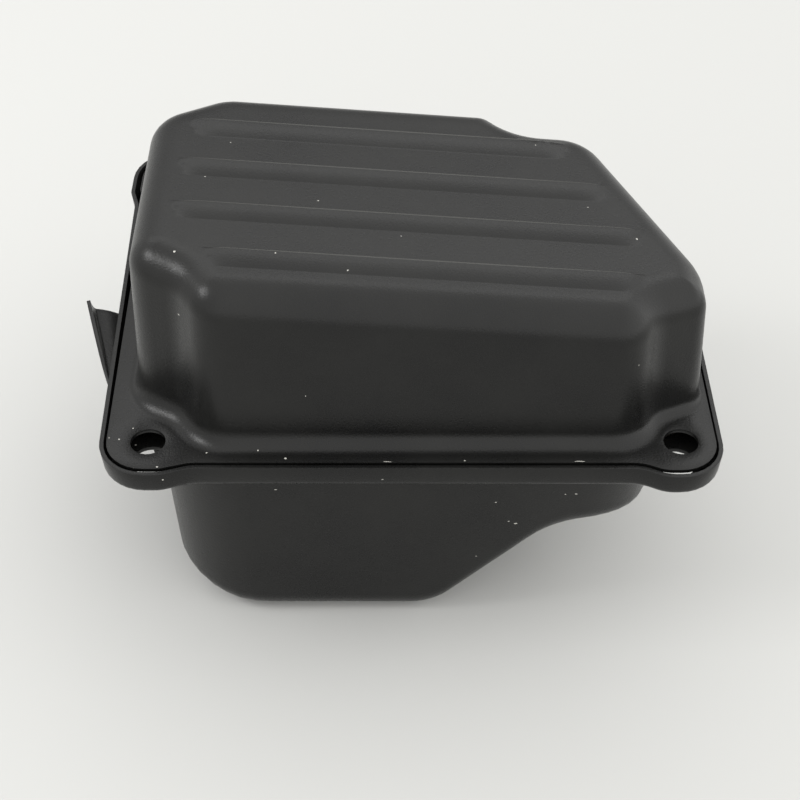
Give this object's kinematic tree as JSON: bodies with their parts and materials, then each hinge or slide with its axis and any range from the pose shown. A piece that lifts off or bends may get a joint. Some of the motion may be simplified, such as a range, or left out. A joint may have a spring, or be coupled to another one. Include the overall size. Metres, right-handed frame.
{
  "type": "small engine muffler",
  "caption": "Pressed-steel muffler box: ribbed cover in a rimmed rear shell with mounting ears, side outlet deflector and a baffle inside.",
  "frame": {"origin": "middle of the object's plan box, on the plane of the flat inlet-port face that it stands on", "axes": "+Z out of the port face towards the ribbed cover; +X along the row of front ears, away from the outlet deflector; +Y from the front ears towards the back ears"},
  "size_m": [0.1263, 0.1032, 0.0864],
  "materials": {
    "black_paint": "satin heat-resistant black paint",
    "plain_steel": "bare cold-rolled sheet, lightly heat-tinted",
    "screen_steel": "woven stainless wire",
    "zinc_steel": "zinc plated",
    "seal_fibre": "pressed graphite and ceramic fibre"
  },
  "bodies": {
    "root": {"rear_shell": "black_paint", "outlet_deflector": "black_paint", "port_doubler": "plain_steel", "inlet_diffuser": "plain_steel", "baffle_plate": "plain_steel", "transfer_tube_left": "plain_steel", "transfer_tube_right": "plain_steel", "cover_seal": "seal_fibre", "outlet_duct": "plain_steel", "duct_rivet_1": "zinc_steel", "duct_rivet_2": "zinc_steel", "duct_rivet_3": "zinc_steel", "duct_rivet_4": "zinc_steel", "spark_screen": "screen_steel", "screen_frame": "plain_steel", "screen_screw": "zinc_steel", "screen_nut": "zinc_steel", "weld_nut_left": "zinc_steel", "weld_nut_right": "zinc_steel"},
    "cover": {"cover_shell": "black_paint", "cover_screw_left": "zinc_steel", "cover_screw_right": "zinc_steel", "washer_left": "zinc_steel", "washer_right": "zinc_steel"}
  },
  "joints": [
    {"name": "cover_lift", "type": "slide", "parent": "root", "child": "cover", "axis": [0, 0, 1], "range_m": [0, 0.06]}
  ]
}
